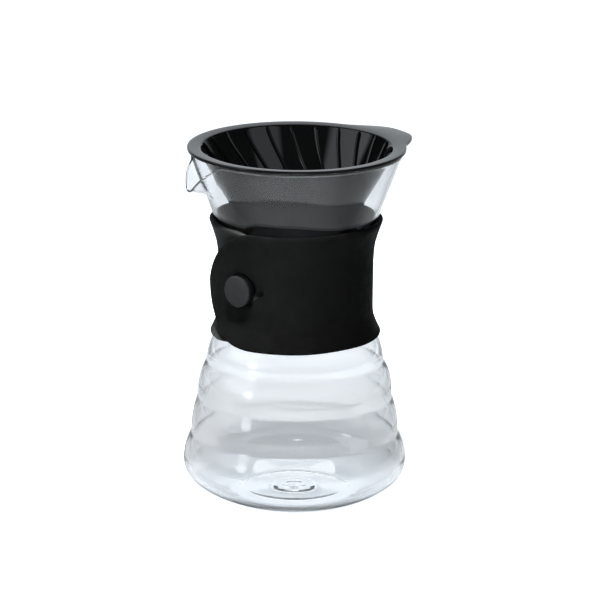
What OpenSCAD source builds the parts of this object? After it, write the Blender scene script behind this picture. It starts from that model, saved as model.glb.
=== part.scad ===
// Coffee server: a waisted glass carafe, a drip cone in its mouth, and a rubber grip band with a button.
// Sizes are millimetres and degrees. The origin is on the axis at the table, Z is up, the spout points to -X.

/* [Carafe] */
// Height of the whole object, from the table to the top of the flange
total_h = 217; // [200:1:240]
// Outer radius of the flat ring that the carafe stands on
foot_r = 39.5; // [34:0.5:44]
// Width of the flat ring
foot_w = 3; // [2:0.5:5]
// Height of the hollow under the base
punt_h = 1.6; // [1:0.1:3]
// Outer radius of the belly, the widest place of the glass
belly_r = 67.3; // [64:0.1:72]
// Height of the belly above the table
belly_z = 24; // [20:0.5:28]
// How far out the bowl starts to turn up, as a share of its width
bowl_run = 0.49; // [0.4:0.01:0.6]
// How high the bowl has risen there, as a share of its height
bowl_rise = 0.21; // [0.15:0.01:0.3]
// Height from which the bowl runs up to the belly, as a share of its height
bowl_turn = 0.46; // [0.35:0.01:0.6]
// Outer radius of the first step above the belly
step1_r = 62.35; // [60:0.05:64]
// Outer radius of the second step
step2_r = 58.6; // [56:0.1:60]
// Outer radius of the third step
step3_r = 53.5; // [52:0.1:56]
// Height from one step to the next
step_pitch = 21; // [19:0.5:23]
// Height of the rounded shoulder between two steps
step_run = 18; // [14:0.5:19]
// Height of the upright stretch above the third step
step_flat = 1; // [0:0.5:3]
// Height over which the top shoulder draws in to the waist
neck_run = 30; // [26:0.5:34]
// Outer radius of the waist
waist_r = 43.1; // [40:0.1:46]
// Outer radius of the mouth
mouth_r = 64.1; // [61:0.1:67]
// Lean of the funnel wall from upright
funnel_angle = 20.3; // [18:0.1:24]
// Softness of the turn from the waist into the funnel
funnel_soft = 6.2; // [3:0.1:10]
// Thickness of the glass
wall = 2.2; // [1.8:0.1:3]
// Thickness of the glass at the floor
floor_t = 3; // [2.4:0.1:4]

/* [Spout] */
// Distance of the lip of the spout from the axis
spout_reach = 70.3; // [68:0.1:74]
// Depth of the lowest place of the lip under the mouth
spout_drop = 17.5; // [14:0.5:21]
// Rise of the spout's bottom on the way out
spout_rise = 12; // [4:1:20]
// Angle between the two sides of the spout
spout_angle = 80; // [60:1:100]
// Radius along the bottom of the spout
spout_round = 5; // [3:0.5:8]
// Radius of the lip seen from above
lip_r = 20.3; // [18:0.1:24]

/* [Dripper] */
// How far the flange reaches out past the mouth
flange_over = 1.5; // [0.5:0.1:3]
// Width of the flange from the cone to its edge
flange_w = 7.6; // [6:0.1:9]
// Thickness of the flange
flange_t = 2; // [1.6:0.1:3]
// Chamfer on the edges of the flange
flange_edge = 0.4; // [0.2:0.1:0.7]
// Angle of the whole cone
cone_angle = 60; // [56:1:66]
// Thickness of the cone wall
cone_wall = 2; // [1.6:0.1:2.6]
// Radius of the outlet
outlet_r = 10; // [8:0.5:12]
// How far the thumb tab reaches out past the flange
tab_reach = 11.5; // [8:0.5:14]
// Half of the angle that the end of the tab spans
tab_end = 5; // [3:0.5:8]
// Angle over which each side of the tab runs into the flange
tab_side = 26; // [18:1:30]
// Turn of the tab from straight opposite the spout
tab_turn = 10; // [0:1:20]
// Number of ribs inside the cone, long and short in turn
rib_count = 24; // [16:2:28]
// Height of a rib
rib_h = 1.4; // [1:0.1:1.8]
// Width of a rib at its root
rib_w = 2.2; // [1.6:0.1:2.6]
// Turn of a long rib from the flange to the outlet
rib_swirl = 70; // [40:5:90]
// How the turn gathers towards the outlet
rib_gather = 1.6; // [1:0.1:2]
// Distance of the rib tops from the flange, along the cone
rib_start = 1.2; // [0.8:0.1:8]
// Length of a short rib as a share of a long one
rib_short = 0.5; // [0.3:0.05:0.7]
// Gap between the mouth and the flange
seat_gap = 0.3; // [0.2:0.05:0.5]

/* [Band] */
// Height of the band
band_h = 72; // [66:0.5:74]
// Distance from the start of the waist's shoulder up to the lower edge of the band
band_up = 14; // [12:0.5:17]
// Thickness of the band
band_t = 3; // [2.5:0.1:3.4]
// Gap between the band and the glass
band_fit = 0.35; // [0.25:0.05:0.6]
// Gap between the two layers of the band
lap_gap = 0.35; // [0.25:0.05:0.6]
// How far the tip of the flap stands off the layer under it
lap_lift = 2.6; // [0:0.1:4]
// Direction of the button round the axis
button_turn = 206.5; // [200:0.5:212]
// Angle from the button to the tip of the flap
flap_tip = 39; // [34:0.5:44]
// Angle over which the end of the flap is rounded
flap_end = 50; // [42:1:56]
// Angle from the button to the tip of the inner end
tuck_tip = 33; // [28:0.5:36]
// Angle over which the upper edge of the inner end is rounded
tuck_high = 36; // [30:1:44]
// Angle over which the lower edge of the inner end is rounded
tuck_low = 66; // [50:1:70]
// Fullness of the rounding on the upper edges
round_high = 1.5; // [1.4:0.1:2.4]
// Fullness of the rounding on the lower edges
round_low = 2.1; // [1.4:0.1:2.4]
// Angle from the button to the line that the flap folds on
fold_turn = 30; // [28:0.5:32]
// Gap along the fold line
fold_gap = 0.3; // [0.2:0.05:0.5]
// Angle over which the band climbs from the glass on to its inner end
ramp_turn = 42; // [34:1:48]
// Angle from the fold line to the top of that climb
ramp_wait = 6; // [5:0.5:10]

/* [Button] */
// Radius of the head
head_r = 9.75; // [8:0.25:10.5]
// How far the head stands out past the flap
head_out = 5.6; // [4:0.1:7]
// Gap between the flap and the underside of the head
head_gap = 0.35; // [0.25:0.05:0.6]
// Radius of the rounded edge of the head
head_round = 1; // [0.6:0.1:1.6]
// Radius of the stem
stem_r = 7.5; // [6:0.25:8]
// Radius of the disc that holds the stem inside the band
disc_r = 8.75; // [8.25:0.25:10]
// Thickness of the disc
disc_t = 1.2; // [0.8:0.1:1.5]
// Gap round the stem and the disc
stem_gap = 0.1; // [0.05:0.05:0.2]
// Gap between the head and the round part of the teardrop hole
hole_gap = 0.75; // [0.6:0.05:1]
// Length of the teardrop hole's tail, from the middle of the head
tail_reach = 15.6; // [14:0.1:17]
// Radius at the end of the tail
tail_r = 2.2; // [1.5:0.1:3]
// Half of the tail's width where it leaves the round part
tail_root = 3.4; // [2.5:0.1:4.5]

/* [Hidden] */
$fa = 4;
$fs = 0.5;
over = 1;
rim_z = total_h - flange_t - seat_gap;
foot_in_r = foot_r - foot_w;
punt_r = foot_in_r - foot_w;
step1_z = belly_z + step_pitch;
step2_z = step1_z + step_pitch;
step3_z = step2_z + step_pitch;
neck_z = step3_z + step_flat;
funnel_z = rim_z - (mouth_r - waist_r) / tan(funnel_angle);
bowl_parts = 14;
body_parts = 62;
rim_parts = 6;
flange_r = mouth_r + flange_over;
open_r = flange_r - flange_w;
cone_lean = cone_angle / 2;
cone_side = cone_wall / cos(cone_lean);
cone_slant = (open_r - outlet_r) / sin(cone_lean);
outlet_z = total_h - cone_slant * cos(cone_lean);
rib_parts = 12;
rib_sink = 0.8;
rib_crest = 0.35;
tab_parts = 36;
band_low = neck_z + band_up;
band_top = band_low + band_h;
band_z = (band_low + band_top) / 2;
side_parts = 12;
edge_angles = [135, 90, 45];
strap_in = carafe_r(band_z) + band_fit;
strap_out = strap_in + band_t;
lap = band_t + lap_gap;
flap_out = strap_out + lap;
fold_at = button_turn + fold_turn;
fold_slit = fold_gap / strap_out * 90 / PI;
tuck_at = button_turn + tuck_tip;
tip_at = button_turn - flap_tip;
ramp_from = fold_at + ramp_wait + ramp_turn - 360;
end_parts = 13;
wrap_parts = 40;
ramp_parts = 9;
flap_parts = 3;
head_parts = 6;
vee_parts = 8;
end_gather = 1.8;
hole_r = head_r + hole_gap;
seat_r = carafe_r(band_z);
seat_lean = atan2(carafe_r(band_z + disc_r) - carafe_r(band_z - disc_r), 2 * disc_r);
disc_seat = strap_in + stem_gap + max(0, seat_bulge(1) - band_fit, seat_bulge(-1) - band_fit);

// Smooth step from 0 to 1
function ease(t) = let (u = min(max(t, 0), 1)) u * u * (3 - 2 * u);

// Point of a cubic curve with four control points
function curve(a, b, c, d, t) =
    pow(1 - t, 3) * a + 3 * pow(1 - t, 2) * t * b + 3 * (1 - t) * t * t * c + pow(t, 3) * d;

// Outer radius of the glass at a height above the belly
function step_in(z, top, from, to) = (from - to) * ease((z - top + step_run) / step_run);
function funnel_out(z) =
    tan(funnel_angle) / 2 * (z - funnel_z + sqrt(pow(z - funnel_z, 2) + pow(funnel_soft, 2)));
function carafe_r(z) = belly_r
    - step_in(z, step1_z, belly_r, step1_r)
    - step_in(z, step2_z, step1_r, step2_r)
    - step_in(z, step3_z, step2_r, step3_r)
    - (step3_r - waist_r) * ease((z - neck_z) / neck_run)
    + funnel_out(z);

// How far the glass stands out of the plane of the button at the upper or lower edge of its disc
function seat_bulge(side) = let (rise = side * disc_r)
    (carafe_r(band_z + rise * cos(seat_lean)) - seat_r - rise * sin(seat_lean)) * cos(seat_lean);

// Outer outline of the glass from the foot to the mouth, and the same outline moved in by the wall
bowl = [for (i = [0:bowl_parts - 1]) curve(
    [foot_r, 0],
    [foot_r + bowl_run * (belly_r - foot_r), bowl_rise * belly_z],
    [belly_r, bowl_turn * belly_z],
    [belly_r, belly_z],
    i / bowl_parts)];
crest_z = rim_z - wall / 2 * (1 + sin(funnel_angle));
body = [for (i = [0:body_parts]) let (z = belly_z + (crest_z - belly_z) * i / body_parts) [carafe_r(z), z]];
outer = concat(bowl, body);
last = len(outer) - 1;
function along(i) = outer[min(i + 1, last)] - outer[max(i - 1, 0)];
function inside(i) = let (d = along(i) / norm(along(i))) outer[i] + wall * [-d[1], d[0]];
inner = [for (i = [1:last]) if (inside(i)[1] > floor_t) inside(i)];
rim_mid = (outer[last] + inside(last)) / 2;
rim_lean = atan2(outer[last][1] - rim_mid[1], outer[last][0] - rim_mid[0]);
rim = [for (i = [1:rim_parts - 1]) let (a = rim_lean + 180 * i / rim_parts) rim_mid + wall / 2 * [cos(a), sin(a)]];
base = [[0, punt_h], [punt_r, punt_h], [foot_in_r, 0]];
function reversed(list) = [for (i = [len(list) - 1:-1:0]) list[i]];

// Groove of the spout seen along its bottom, moved out by a thickness
module spout_vee(thick) {
    half = spout_angle / 2;
    r = spout_round + thick;
    flank = [r * cos(half), spout_round - r * sin(half)];
    long = spout_drop * 2;
    polygon(concat(
        [[-flank[0] - long * sin(half), flank[1] + long * cos(half)]],
        [for (a = [180 + half:(180 - 2 * half) / vee_parts:360 - half]) [r * cos(a), spout_round + r * sin(a)]],
        [[flank[0] + long * sin(half), flank[1] + long * cos(half)]]));
}

// Groove along the spout, from inside the mouth to past the lip
module spout_run(thick, past) {
    translate([-spout_reach, 0, rim_z - spout_drop])
        rotate([0, spout_rise, 0])
            translate([-past, 0, 0])
                rotate([90, 0, 90])
                    linear_extrude(lip_r + 2 * past) spout_vee(thick);
}

module carafe_cavity() {
    rotate_extrude()
        polygon(concat([[0, floor_t + punt_h], [inner[0][0] - foot_w, floor_t]], inner,
            [[inner[len(inner) - 1][0], rim_z + over], [0, rim_z + over]]));
}

module carafe_glass() {
    color([0.8, 0.86, 0.9, 0.35]) difference() {
        union() {
            rotate_extrude()
                polygon(concat(base, outer, rim, reversed(inner),
                    [[inner[0][0] - foot_w, floor_t], [0, floor_t + punt_h]]));
            difference() {
                intersection() {
                    spout_run(wall, lip_r / 2);
                    translate([lip_r - spout_reach, 0, rim_z - 2 * spout_drop])
                        cylinder(r = lip_r, h = 2 * spout_drop - wall / 2);
                }
                carafe_cavity();
            }
        }
        spout_run(0, lip_r / 2);
    }
}

// Solid through a row of outlines with the same number of points
module skin(rows) {
    m = len(rows[0]);
    n = len(rows);
    polyhedron(
        points = [for (row = rows) each row],
        faces = concat(
            [for (i = [0:n - 2]) for (j = [0:m - 1]) each [
                [i * m + j, i * m + (j + 1) % m, (i + 1) * m + j],
                [i * m + (j + 1) % m, (i + 1) * m + (j + 1) % m, (i + 1) * m + j]]],
            [[for (j = [m - 1:-1:0]) j]],
            [[for (j = [0:m - 1]) (n - 1) * m + j]]));
}

// Rib on the inside of the cone, with its place given along the slant
function rib_turn(s) = -rib_swirl * pow(s / cone_slant, rib_gather);
function rib_point(s, side, height) =
    let (r = open_r - s * sin(cone_lean) - height * cos(cone_lean),
         z = total_h - s * cos(cone_lean) + height * sin(cone_lean),
         a = rib_turn(s))
    [r * cos(a) - side * sin(a), r * sin(a) + side * cos(a), z];
module rib(length) {
    skin([for (i = [0:rib_parts]) let (s = rib_start + length * i / rib_parts) [
        rib_point(s, -rib_w / 2, -rib_sink),
        rib_point(s, rib_w / 2, -rib_sink),
        rib_point(s, rib_w * rib_crest, rib_h),
        rib_point(s, -rib_w * rib_crest, rib_h)]]);
}

// Outline of the thumb tab with its root under the flange
function tab_r(a) = flange_r - flange_edge + tab_reach * ease(1 - (abs(a) - tab_end) / tab_side);
module tab_outline() {
    half = tab_end + tab_side;
    polygon(concat(
        [for (i = [0:tab_parts]) let (a = half * (2 * i / tab_parts - 1)) tab_r(a) * [cos(a), sin(a)]],
        [(open_r + flange_edge + cone_side) * [cos(half / 2), sin(half / 2)],
         (open_r + flange_edge + cone_side) * [1, 0],
         (open_r + flange_edge + cone_side) * [cos(half / 2), -sin(half / 2)]]));
}

module dripper() {
    rib_long = cone_slant - rib_start - rib_h;
    color([0.08, 0.08, 0.08]) {
        rotate_extrude()
            polygon([
                [outlet_r, outlet_z],
                [outlet_r + cone_side, outlet_z],
                [open_r + cone_side - flange_t * tan(cone_lean), total_h - flange_t],
                [flange_r - flange_edge, total_h - flange_t],
                [flange_r, total_h - flange_t + flange_edge],
                [flange_r, total_h - flange_edge],
                [flange_r - flange_edge, total_h],
                [open_r, total_h]]);
        rotate([0, 0, tab_turn])
            translate([0, 0, total_h - flange_t])
                linear_extrude(flange_t) tab_outline();
        for (i = [0:rib_count - 1])
            rotate([0, 0, tab_turn + i * 360 / rib_count])
                rib(i % 2 == 0 ? rib_long : rib_long * rib_short);
    }
}

// Outline across the band at one direction: low and high edges, and how far it stands off the glass
function place(a, r, z) = [r * cos(a), r * sin(a), z];
function across(a, low, high, off) =
    let (h = band_t / 2,
         z0 = low + h,
         z1 = max(high - h, z0 + h),
         zs = [for (k = [0:side_parts]) z0 + (z1 - z0) * k / side_parts],
         base_r = band_fit + off)
    concat(
        [for (z = zs) place(a, carafe_r(z) + base_r, z)],
        [for (e = edge_angles) place(a, carafe_r(z1) + base_r + h + h * cos(e), z1 + h * sin(e))],
        [for (z = reversed(zs)) place(a, carafe_r(z) + base_r + band_t, z)],
        [for (e = reversed(edge_angles)) place(a, carafe_r(z0) + base_r + h + h * cos(e), z0 - h * sin(e))]);

// Half of the band's height at a share of the rounding, with 0 at the tip and 1 at its start
function swell(share, fullness) = pow(1 - pow(1 - min(share, 1), fullness), 1 / fullness);
function rounded(a, from_tip, high_turn, low_turn, off) = across(a,
    band_z - band_h / 2 * swell(from_tip / low_turn, round_low),
    band_z + band_h / 2 * swell(from_tip / high_turn, round_high),
    off);

// Button and what passes through it, square to the glass and measured from the axis
module on_button() {
    rotate([0, 0, button_turn])
        translate([seat_r, 0, band_z])
            rotate([0, 90 + seat_lean, 0])
                translate([0, 0, -seat_r]) children();
}

module grip_band() {
    tuck = max(tuck_high, tuck_low);
    color([0.1, 0.1, 0.1]) difference() {
        skin(concat(
            [for (i = [1:end_parts]) let (d = tuck * pow(i / end_parts, end_gather))
                rounded(tuck_at - d, d, tuck_high, tuck_low, 0)],
            [for (i = [1:wrap_parts])
                across(tuck_at - tuck + (ramp_from - tuck_at + tuck) * i / wrap_parts, band_low, band_top, 0)],
            [for (i = [1:ramp_parts])
                across(ramp_from - ramp_turn * i / ramp_parts, band_low, band_top, lap * ease(i / ramp_parts))],
            [across(fold_at + fold_slit - 360, band_low, band_top, lap)]));
        on_button() cylinder(r = disc_r + stem_gap, h = disc_seat + disc_t + stem_gap);
        on_button() cylinder(r = stem_r + stem_gap, h = strap_out + over);
    }
}

// Stand-off of the flap, which lifts towards its tip
function flap_off(from_tip) = lap + lap_lift * pow(max(1 - from_tip / flap_end, 0), 2);

module band_flap() {
    fold_span = fold_at - fold_slit - tip_at;
    color([0.12, 0.12, 0.12]) difference() {
        skin(concat(
            [for (i = [1:end_parts]) let (d = flap_end * pow(i / end_parts, end_gather))
                rounded(tip_at + d, d, flap_end, flap_end, flap_off(d))],
            [for (i = [1:flap_parts]) let (d = flap_end + (fold_span - flap_end) * i / flap_parts)
                across(tip_at + d, band_low, band_top, lap)]));
        on_button() teardrop();
    }
}

// Teardrop hole with its tail towards the fold
module teardrop() {
    linear_extrude(flap_out + head_out) {
        circle(r = hole_r);
        translate([0, tail_reach - tail_r]) circle(r = tail_r);
        polygon([
            [-tail_root, hole_r - tail_root],
            [tail_root, hole_r - tail_root],
            [tail_r, tail_reach - tail_r],
            [-tail_r, tail_reach - tail_r]]);
    }
}

module band_button() {
    color([0.2, 0.2, 0.2]) on_button() {
        translate([0, 0, disc_seat]) cylinder(r = disc_r, h = disc_t);
        translate([0, 0, disc_seat]) cylinder(r = stem_r, h = flap_out + head_gap + stem_gap - disc_seat);
        translate([0, 0, flap_out + head_gap])
            rotate_extrude()
                polygon(concat(
                    [[0, 0], [head_r, 0]],
                    [for (i = [0:head_parts]) let (a = 90 * i / head_parts)
                        [head_r - head_round + head_round * cos(a),
                         head_out - head_gap - head_round + head_round * sin(a)]],
                    [[0, head_out - head_gap]]));
    }
}

carafe_glass();
dripper();
grip_band();
band_flap();
band_button();
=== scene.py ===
"""Dresses the coffee server: blown glass, drip cone, wrapped grip band, button and a plain studio.

All lengths are metres and all angles radians, in the frame of the packed model: the origin is on the
axis at the table, Z is up and the spout points to -X.
"""

import math
from math import radians

import bmesh
import bpy
from bpy.props import FloatProperty, FloatVectorProperty, IntProperty, PointerProperty
from bpy.types import Operator, Panel, PropertyGroup
from mathutils import Matrix, Vector


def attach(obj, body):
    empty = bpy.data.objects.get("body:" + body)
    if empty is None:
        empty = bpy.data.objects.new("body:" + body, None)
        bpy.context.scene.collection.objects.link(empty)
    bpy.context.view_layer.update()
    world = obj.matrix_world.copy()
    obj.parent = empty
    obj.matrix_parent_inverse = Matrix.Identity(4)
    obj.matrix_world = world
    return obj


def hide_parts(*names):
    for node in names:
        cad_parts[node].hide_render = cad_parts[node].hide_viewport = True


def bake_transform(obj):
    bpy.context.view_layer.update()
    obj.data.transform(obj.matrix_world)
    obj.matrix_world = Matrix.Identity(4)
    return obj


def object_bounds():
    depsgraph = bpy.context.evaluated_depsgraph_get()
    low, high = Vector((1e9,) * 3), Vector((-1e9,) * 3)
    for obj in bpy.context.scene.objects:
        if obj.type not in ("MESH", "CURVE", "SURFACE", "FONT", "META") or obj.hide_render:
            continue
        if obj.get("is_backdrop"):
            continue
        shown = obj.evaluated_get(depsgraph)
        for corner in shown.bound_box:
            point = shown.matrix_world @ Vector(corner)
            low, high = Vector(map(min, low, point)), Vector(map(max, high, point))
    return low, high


bl_info = {
    "name": "Coffee Server",
    "version": (1, 0, 0),
    "blender": (4, 5, 0),
    "location": "3D View > Sidebar > Server",
    "description": "Models and finishes the pieces of a glass coffee server with a drip cone and a grip band",
    "category": "Object",
}

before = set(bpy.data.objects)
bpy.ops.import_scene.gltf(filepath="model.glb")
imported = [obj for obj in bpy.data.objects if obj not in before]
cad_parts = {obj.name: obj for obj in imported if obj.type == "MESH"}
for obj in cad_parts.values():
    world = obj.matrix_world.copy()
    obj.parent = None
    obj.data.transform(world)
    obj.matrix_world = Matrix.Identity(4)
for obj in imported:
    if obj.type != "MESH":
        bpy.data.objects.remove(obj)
CAD_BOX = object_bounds()
TURN = 2 * math.pi


# Kinds of size and colour

def kind_of(prop, **settings):
    """Kind of property that is given its name, description and default"""
    def made(name, description, default):
        return prop(name=name, description=description, default=default, **settings)
    return made


Length = kind_of(FloatProperty, unit="LENGTH")
Angle = kind_of(FloatProperty, subtype="ANGLE")
Share = kind_of(FloatProperty, subtype="FACTOR", min=0, max=1)
Number = kind_of(FloatProperty)
Count = kind_of(IntProperty, min=3)
Lens = kind_of(FloatProperty, unit="CAMERA")
Place = kind_of(FloatVectorProperty, subtype="TRANSLATION")
Colour = kind_of(FloatVectorProperty, subtype="COLOR", min=0, max=1)


# Sizes and colours that a user would change

class GlassSizes(PropertyGroup):
    """Sizes of the blown glass"""
    rim_z: Length("Rim height", "Height of the rim above the table", 0.2147)
    foot_r: Length("Foot radius", "Outer radius of the ring it stands on", 0.0395)
    foot_w: Length("Foot width", "Width of the ring it stands on", 0.003)
    punt_h: Length("Punt height", "Height of the hollow under the base", 0.0016)
    belly_r: Length("Belly radius", "Radius of the widest place", 0.0673)
    belly_z: Length("Belly height", "Height of the widest place", 0.0229)
    bowl_run: Share("Bowl run", "Share of the bowl's width where it starts to turn up", 0.49)
    bowl_rise: Share("Bowl rise", "Share of the bowl's height reached there", 0.23)
    bowl_turn: Share("Bowl turn", "Share of the bowl's height where it runs upright", 0.52)
    step1_r: Length("First step", "Radius of the first step above the belly", 0.0624)
    step2_r: Length("Second step", "Radius of the second step", 0.0586)
    step3_r: Length("Third step", "Radius of the third step", 0.0532)
    step_pitch: Length("Step pitch", "Height from one step to the next", 0.0224)
    step_run: Length("Step run", "Height of the rounded shoulder of a step", 0.0177)
    crease: Share("Crease", "Softness of the crease over a shoulder, as a share of the step", 0.12)
    inner_crease: Share("Inner crease", "The same on the inside of the glass", 0.3)
    neck_z: Length("Neck height", "Height where the glass starts to draw in to the waist", 0.088)
    neck_run: Length("Neck run", "Height over which the glass draws in to the waist", 0.03)
    waist_r: Length("Waist radius", "Radius of the waist", 0.0431)
    mouth_r: Length("Mouth radius", "Radius of the mouth", 0.0641)
    funnel_angle: Angle("Funnel angle", "Lean of the funnel from upright", radians(20.3))
    funnel_soft: Length("Funnel softness", "Softness of the turn into the funnel", 0.0062)
    wall: Length("Wall", "Thickness of the glass", 0.0022)
    rim_t: Length("Rim thickness", "Thickness of the glass at the rim and the spout", 0.0014)
    base_t: Length("Base thickness", "Thickness of the base at its middle", 0.0042)
    mark_r: Length("Mark radius", "Radius of the rings in the middle of the base", 0.0135)
    mark_h: Length("Mark height", "Height of the rings in the middle of the base", 0.0003)
    spout_reach: Length("Spout reach", "Distance of the lip from the axis", 0.0701)
    spout_drop: Length("Spout drop", "Depth of the lip under the rim", 0.0175)
    spout_rise: Angle("Spout rise", "Rise of the spout's bottom on the way out", radians(12))
    spout_angle: Angle("Spout angle", "Angle between the sides of the spout", radians(80))
    spout_round: Length("Spout round", "Radius along the bottom of the spout", 0.005)
    lip_r: Length("Lip radius", "Radius of the lip seen from above", 0.0203)
    spout_soft: Length("Spout softness", "Softness of the run from the rim into the spout", 0.003)
    steps: Count("Steps round", "Number of faces round the glass", 192)


class DripperSizes(PropertyGroup):
    """Sizes of the drip cone"""
    top_z: Length("Top height", "Height of the flange's top", 0.217)
    flange_r: Length("Flange radius", "Outer radius of the flange", 0.0656)
    flange_t: Length("Flange thickness", "Thickness of the flange", 0.002)
    open_r: Length("Opening radius", "Radius of the cone at its top", 0.058)
    lean: Angle("Lean", "Lean of the cone from upright", radians(30))
    wall: Length("Wall", "Thickness of the cone", 0.002)
    outlet_r: Length("Outlet radius", "Radius of the outlet", 0.010)
    edge: Length("Edge", "Radius of the flange's edges", 0.0006)
    dish: Length("Dish", "Fall of the flange towards the cone", 0.0006)
    tab_reach: Length("Tab reach", "Reach of the thumb tab past the flange", 0.0110)
    tab_end: Angle("Tab end", "Half of the angle of the tab's end", radians(5))
    tab_side: Angle("Tab side", "Angle of each side of the tab", radians(26))
    tab_turn: Angle("Tab turn", "Turn of the tab from straight opposite the spout", radians(10))
    ribs: Count("Long ribs", "Number of long ribs, with a short one between each two", 12)
    rib_h: Length("Rib height", "Height of a rib", 0.0014)
    rib_w: Length("Rib width", "Width of a rib at its root", 0.0018)
    rib_swirl: Angle("Rib swirl", "Turn of a long rib from top to outlet", radians(70))
    rib_gather: Number("Rib gather", "How the turn gathers towards the outlet", 1.6)
    rib_start: Length("Rib start", "Distance of the rib tops from the flange", 0.0012)
    rib_short: Share("Short rib", "Length of a short rib as a share of a long one", 0.5)
    steps: Count("Steps round", "Number of faces round the cone", 240)


class BandSizes(PropertyGroup):
    """Sizes of the wrapped grip band"""
    low_z: Length("Lower edge", "Height of the lower edge", 0.102)
    height: Length("Height", "Height of the band", 0.072)
    thick: Length("Thickness", "Thickness of the band", 0.003)
    fit: Length("Fit", "Gap between the band and the glass", 0.00035)
    lap_gap: Length("Lap gap", "Gap between the two layers", 0.00035)
    lap_lift: Length("Tip lift", "How far the tip of the flap stands off", 0.0026)
    button_turn: Angle("Button direction", "Direction of the button round the axis", radians(206.5))
    flap_tip: Angle("Flap tip", "Angle from the button to the tip of the flap", radians(39))
    flap_end: Angle("Flap end", "Angle over which the flap's end is rounded", radians(50))
    tuck_tip: Angle("Inner tip", "Angle from the button to the inner tip", radians(33))
    tuck_high: Angle("Inner end, upper", "Angle over which the upper edge is rounded", radians(36))
    tuck_low: Angle("Inner end, lower", "Angle over which the lower edge is rounded", radians(66))
    round_high: Number("Upper fullness", "Fullness of the rounding on the upper edges", 1.5)
    round_low: Number("Lower fullness", "Fullness of the rounding on the lower edges", 2.1)
    fold_turn: Angle("Fold", "Angle from the button to the fold line", radians(30))
    ramp_turn: Angle("Ramp", "Angle over which the band climbs on to its inner end", radians(42))
    ramp_wait: Angle("Ramp wait", "Angle from the fold line to the top of the climb", radians(6))
    split: Angle("Split", "Direction at the back where the two pieces of the band meet", radians(30))
    bend_in: Length("Bend before", "How far before the fold line the rubber starts to bend", 0.009)
    bend_out: Length("Bend after", "How far after the fold line the bend ends", 0.014)


class ButtonSizes(PropertyGroup):
    """Sizes of the button and its hole"""
    head_r: Length("Head radius", "Radius of the head", 0.00975)
    head_out: Length("Head height", "How far the head stands out past the flap", 0.0056)
    head_gap: Length("Head gap", "Gap between the flap and the head", 0.00035)
    head_round: Length("Head edge", "Radius of the head's edge", 0.0018)
    dome: Length("Dome", "Rise of the middle of the head", 0.0003)
    stem_r: Length("Stem radius", "Radius of the stem", 0.0075)
    disc_r: Length("Disc radius", "Radius of the disc inside the band", 0.00875)
    disc_t: Length("Disc thickness", "Thickness of the disc inside the band", 0.0012)
    hole_gap: Length("Hole gap", "Gap between the head and the round part of the hole", 0.00075)
    tail_reach: Length("Tail reach", "Length of the hole's tail from the middle of the head", 0.0156)
    tail_r: Length("Tail radius", "Radius at the end of the tail", 0.0022)
    tail_root: Length("Tail root", "Half of the tail's width where it leaves the hole", 0.0050)


class Finishes(PropertyGroup):
    """Colours of the finishes"""
    glass: Colour("Glass", "Tint of the clear glass", (0.975, 0.981, 0.985))
    plastic: Colour("Plastic", "Colour of the drip cone", (0.0016, 0.0017, 0.0018))
    rubber: Colour("Rubber", "Colour of the grip band", (0.0052, 0.0053, 0.0052))
    dust: Colour("Rubber bloom", "Lighter bloom on the grip band", (0.0105, 0.0108, 0.0106))
    button: Colour("Button", "Colour of the button", (0.024, 0.025, 0.0265))


class StageSizes(PropertyGroup):
    """Camera, light and floor"""
    aim: Place("Aim", "Point in the middle of the picture", (0.00243, -0.00106, 0.12175))
    centre: Place("Centre", "Point that the camera's distance and angles are taken from", (0, 0, 0.108))
    distance: Length("Distance", "Distance of the camera", 3.0)
    azimuth: Angle("Azimuth", "Direction of the camera round the object", radians(-23.5))
    elevation: Angle("Elevation", "Height of the camera over the horizon", radians(15.5))
    roll: Angle("Roll", "Roll of the camera", radians(0.46))
    lens: Lens("Lens", "Focal length on a 36 mm sensor", 298.8)
    glow: Number("Floor glow", "Light that the floor gives from below", 0.36)
    far_glow: Number("Far glow", "The same, far behind the object", 0.78)
    seen_glow: Number("Seen glow", "The same, where the camera sees the floor", 1.08)
    front: Number("Front light", "Light of the room on the camera's side", 0.01)
    back: Number("Back light", "Light of the room behind the object", 0.75)
    above: Number("Top light", "Light of the room that the glass gathers from above", 0.6)
    edge: Number("Edge light", "Light of the room that the glass gathers from the sides", 0.03)
    sky: Colour("Room", "Colour of the room's light", (0.90, 0.955, 1.0))
    floor: Colour("Floor", "Colour of the floor", (0.93, 0.93, 0.93))


# Meshes

SPIN_MERGE, TUBE_MERGE = 1e-6, 1e-7


def ease(share):
    """Smooth step from 0 to 1"""
    share = min(max(share, 0.0), 1.0)
    return share * share * (3 - 2 * share)


def soft_min(a, b, soft):
    """The lesser of two values with a soft corner"""
    return (a + b - math.hypot(a - b, soft)) / 2


def soft_plus(a, soft):
    """A value where it is positive, and nearly nothing elsewhere"""
    return (a + math.hypot(a, soft)) / 2


def wire(bm, points, closed=False):
    """Chain of edges through points"""
    verts = [bm.verts.new(p) for p in points]
    ends = verts[1:] + verts[:1] if closed else verts[1:]
    return verts, [bm.edges.new(pair) for pair in zip(verts, ends)]


def turn(bm, verts, edges, steps):
    """Full spin of a chain about Z, closed at the seam and the poles"""
    bmesh.ops.spin(
        bm, geom=verts + edges, cent=(0, 0, 0), axis=(0, 0, 1), angle=TURN, steps=steps, use_merge=True
    )
    bmesh.ops.remove_doubles(bm, verts=bm.verts, dist=SPIN_MERGE)
    bmesh.ops.recalc_face_normals(bm, faces=bm.faces)
    widest = max(bm.faces, key=lambda f: f.calc_center_median().xy.length)
    if widest.normal.xy.dot(widest.calc_center_median().xy) < 0:
        bmesh.ops.reverse_faces(bm, faces=bm.faces)


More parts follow.
